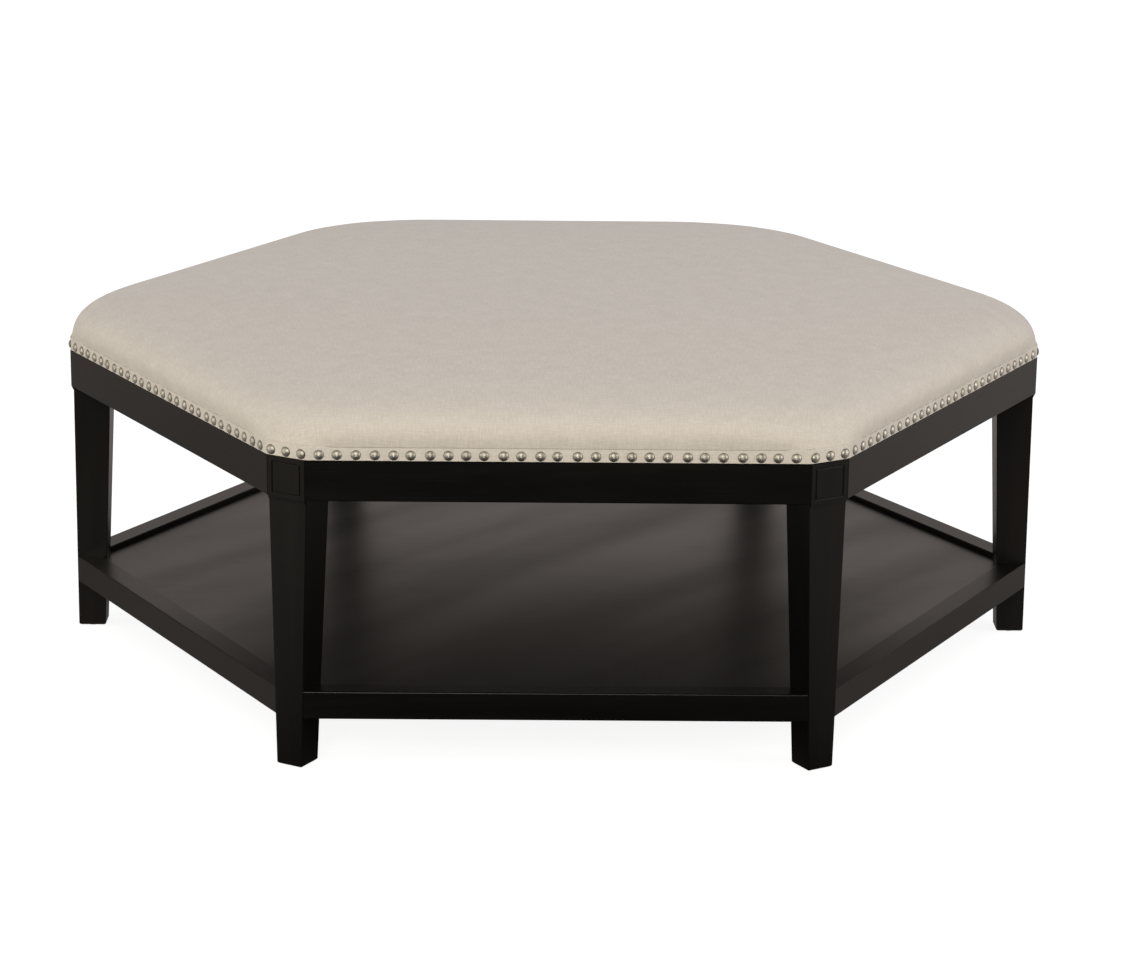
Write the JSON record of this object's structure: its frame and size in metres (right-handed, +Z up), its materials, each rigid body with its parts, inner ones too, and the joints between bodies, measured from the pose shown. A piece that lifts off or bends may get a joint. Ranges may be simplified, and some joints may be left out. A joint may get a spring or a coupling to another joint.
{
  "type": "ottoman coffee table",
  "caption": "Hexagonal coffee table with a crowned linen seat edged in domed nails, tapered dark wood legs and an open lower shelf.",
  "frame": {"origin": "on the floor under the middle of the cushion", "axes": "+Z up, +X through one leg, -Y out of the front side"},
  "size_m": [1.2246, 1.094, 0.4572],
  "materials": {
    "linen_cover": "oatmeal plain-weave linen blend",
    "fibre_wrap": "white polyester fibre wrap",
    "foam": "pale yellow upholstery foam",
    "plywood": "unfinished plywood",
    "dust_cloth": "black non-woven dust cloth",
    "nail_metal": "antique nickel nail heads",
    "dark_wood": "satin espresso-black lacquer over hardwood",
    "raw_wood": "unfinished hardwood",
    "zinc_steel": "zinc-plated steel",
    "glide_plastic": "black nylon glides"
  },
  "bodies": {
    "root": {"seat_cover": "linen_cover", "padding_wrap": "fibre_wrap", "foam_pad": "foam", "seat_deck": "plywood", "dust_cover": "dust_cloth", "dust_cover_staples": "zinc_steel", "nail_trim_front": "nail_metal", "nail_trim_front_left": "nail_metal", "nail_trim_front_right": "nail_metal", "nail_trim_back": "nail_metal", "nail_trim_back_left": "nail_metal", "nail_trim_back_right": "nail_metal", "apron_front": "dark_wood", "apron_front_left": "dark_wood", "apron_front_right": "dark_wood", "apron_back": "dark_wood", "apron_back_left": "dark_wood", "apron_back_right": "dark_wood", "leg_front_left": "dark_wood", "leg_front_right": "dark_wood", "leg_right": "dark_wood", "leg_back_right": "dark_wood", "leg_back_left": "dark_wood", "leg_left": "dark_wood", "corner_brace_front_left": "raw_wood", "corner_brace_front_right": "raw_wood", "corner_brace_right": "raw_wood", "corner_brace_back_right": "raw_wood", "corner_brace_back_left": "raw_wood", "corner_brace_left": "raw_wood", "corner_bolts": "zinc_steel", "corner_washers": "zinc_steel", "corner_nuts": "zinc_steel", "brace_screws": "zinc_steel", "deck_screws": "zinc_steel", "apron_dowels": "raw_wood", "shelf_rail_front": "dark_wood", "shelf_rail_front_left": "dark_wood", "shelf_rail_front_right": "dark_wood", "shelf_rail_back": "dark_wood", "shelf_rail_back_left": "dark_wood", "shelf_rail_back_right": "dark_wood", "shelf_dowels": "raw_wood", "shelf_panel": "dark_wood", "shelf_cleat_front": "raw_wood", "shelf_cleat_front_left": "raw_wood", "shelf_cleat_front_right": "raw_wood", "shelf_cleat_back": "raw_wood", "shelf_cleat_back_left": "raw_wood", "shelf_cleat_back_right": "raw_wood", "cleat_screws": "zinc_steel", "shelf_screws": "zinc_steel", "glide_front_left": "glide_plastic", "glide_front_right": "glide_plastic", "glide_right": "glide_plastic", "glide_back_right": "glide_plastic", "glide_back_left": "glide_plastic", "glide_left": "glide_plastic"}
  },
  "joints": []
}
